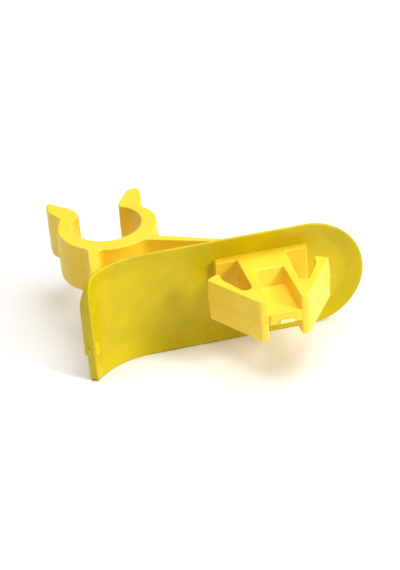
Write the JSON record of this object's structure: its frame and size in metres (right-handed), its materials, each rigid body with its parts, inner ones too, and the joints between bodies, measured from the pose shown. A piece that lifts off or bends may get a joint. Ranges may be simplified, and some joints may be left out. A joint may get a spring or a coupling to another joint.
{
  "type": "fence insulator",
  "caption": "Yellow plastic push-fit fence insulator: C-clamp for a round post, braces, an arc shield and a barbed wire holder with open notches.",
  "frame": {"origin": "centre of the clamp's bore, at the middle of its height", "axes": "+Z along the bore and the post; +X along the shield towards its round end; -Y forward, from the post to the wire holder"},
  "size_m": [0.0787, 0.0702, 0.0312],
  "materials": {
    "yellow_plastic_thick": "satin",
    "yellow_plastic_thin": "satin"
  },
  "bodies": {
    "frame": {"clamp_saddle": "yellow_plastic_thick", "brace_short": "yellow_plastic_thick", "brace_long": "yellow_plastic_thick", "brace_web": "yellow_plastic_thick", "shield_floor": "yellow_plastic_thin", "shield_rim": "yellow_plastic_thin", "shield_tail": "yellow_plastic_thin", "tail_bar": "yellow_plastic_thin", "holder_pad": "yellow_plastic_thick", "holder_block": "yellow_plastic_thick", "holder_leg_left": "yellow_plastic_thick", "holder_leg_right": "yellow_plastic_thick", "holder_web": "yellow_plastic_thick"},
    "jaw_left": {"clamp_jaw_left": "yellow_plastic_thick", "lead_in_lip_left": "yellow_plastic_thick"},
    "jaw_right": {"clamp_jaw_right": "yellow_plastic_thick", "lead_in_lip_right": "yellow_plastic_thick"},
    "wing_left": {"barb_left": "yellow_plastic_thick"},
    "wing_right": {"barb_right": "yellow_plastic_thick"}
  },
  "joints": [
    {"name": "jaw_left_flex", "type": "hinge", "parent": "frame", "child": "jaw_left", "pos_m": [-0.01029, -0.00594, 0], "axis": [0, 0, 1], "range_deg": [0, 17], "stiffness_Nm_per_rad": 1.5},
    {"name": "jaw_right_flex", "type": "hinge", "parent": "frame", "child": "jaw_right", "pos_m": [0.01117, -0.00407, 0], "axis": [0, 0, -1], "range_deg": [0, 17], "stiffness_Nm_per_rad": 1.5},
    {"name": "barb_left_flex", "type": "hinge", "parent": "frame", "child": "wing_left", "pos_m": [0.02725, -0.0471, 0], "axis": [0, 0, 1], "range_deg": [0, 8], "stiffness_Nm_per_rad": 2},
    {"name": "barb_right_flex", "type": "hinge", "parent": "frame", "child": "wing_right", "pos_m": [0.04475, -0.0471, 0], "axis": [0, 0, -1], "range_deg": [0, 8], "stiffness_Nm_per_rad": 2}
  ]
}
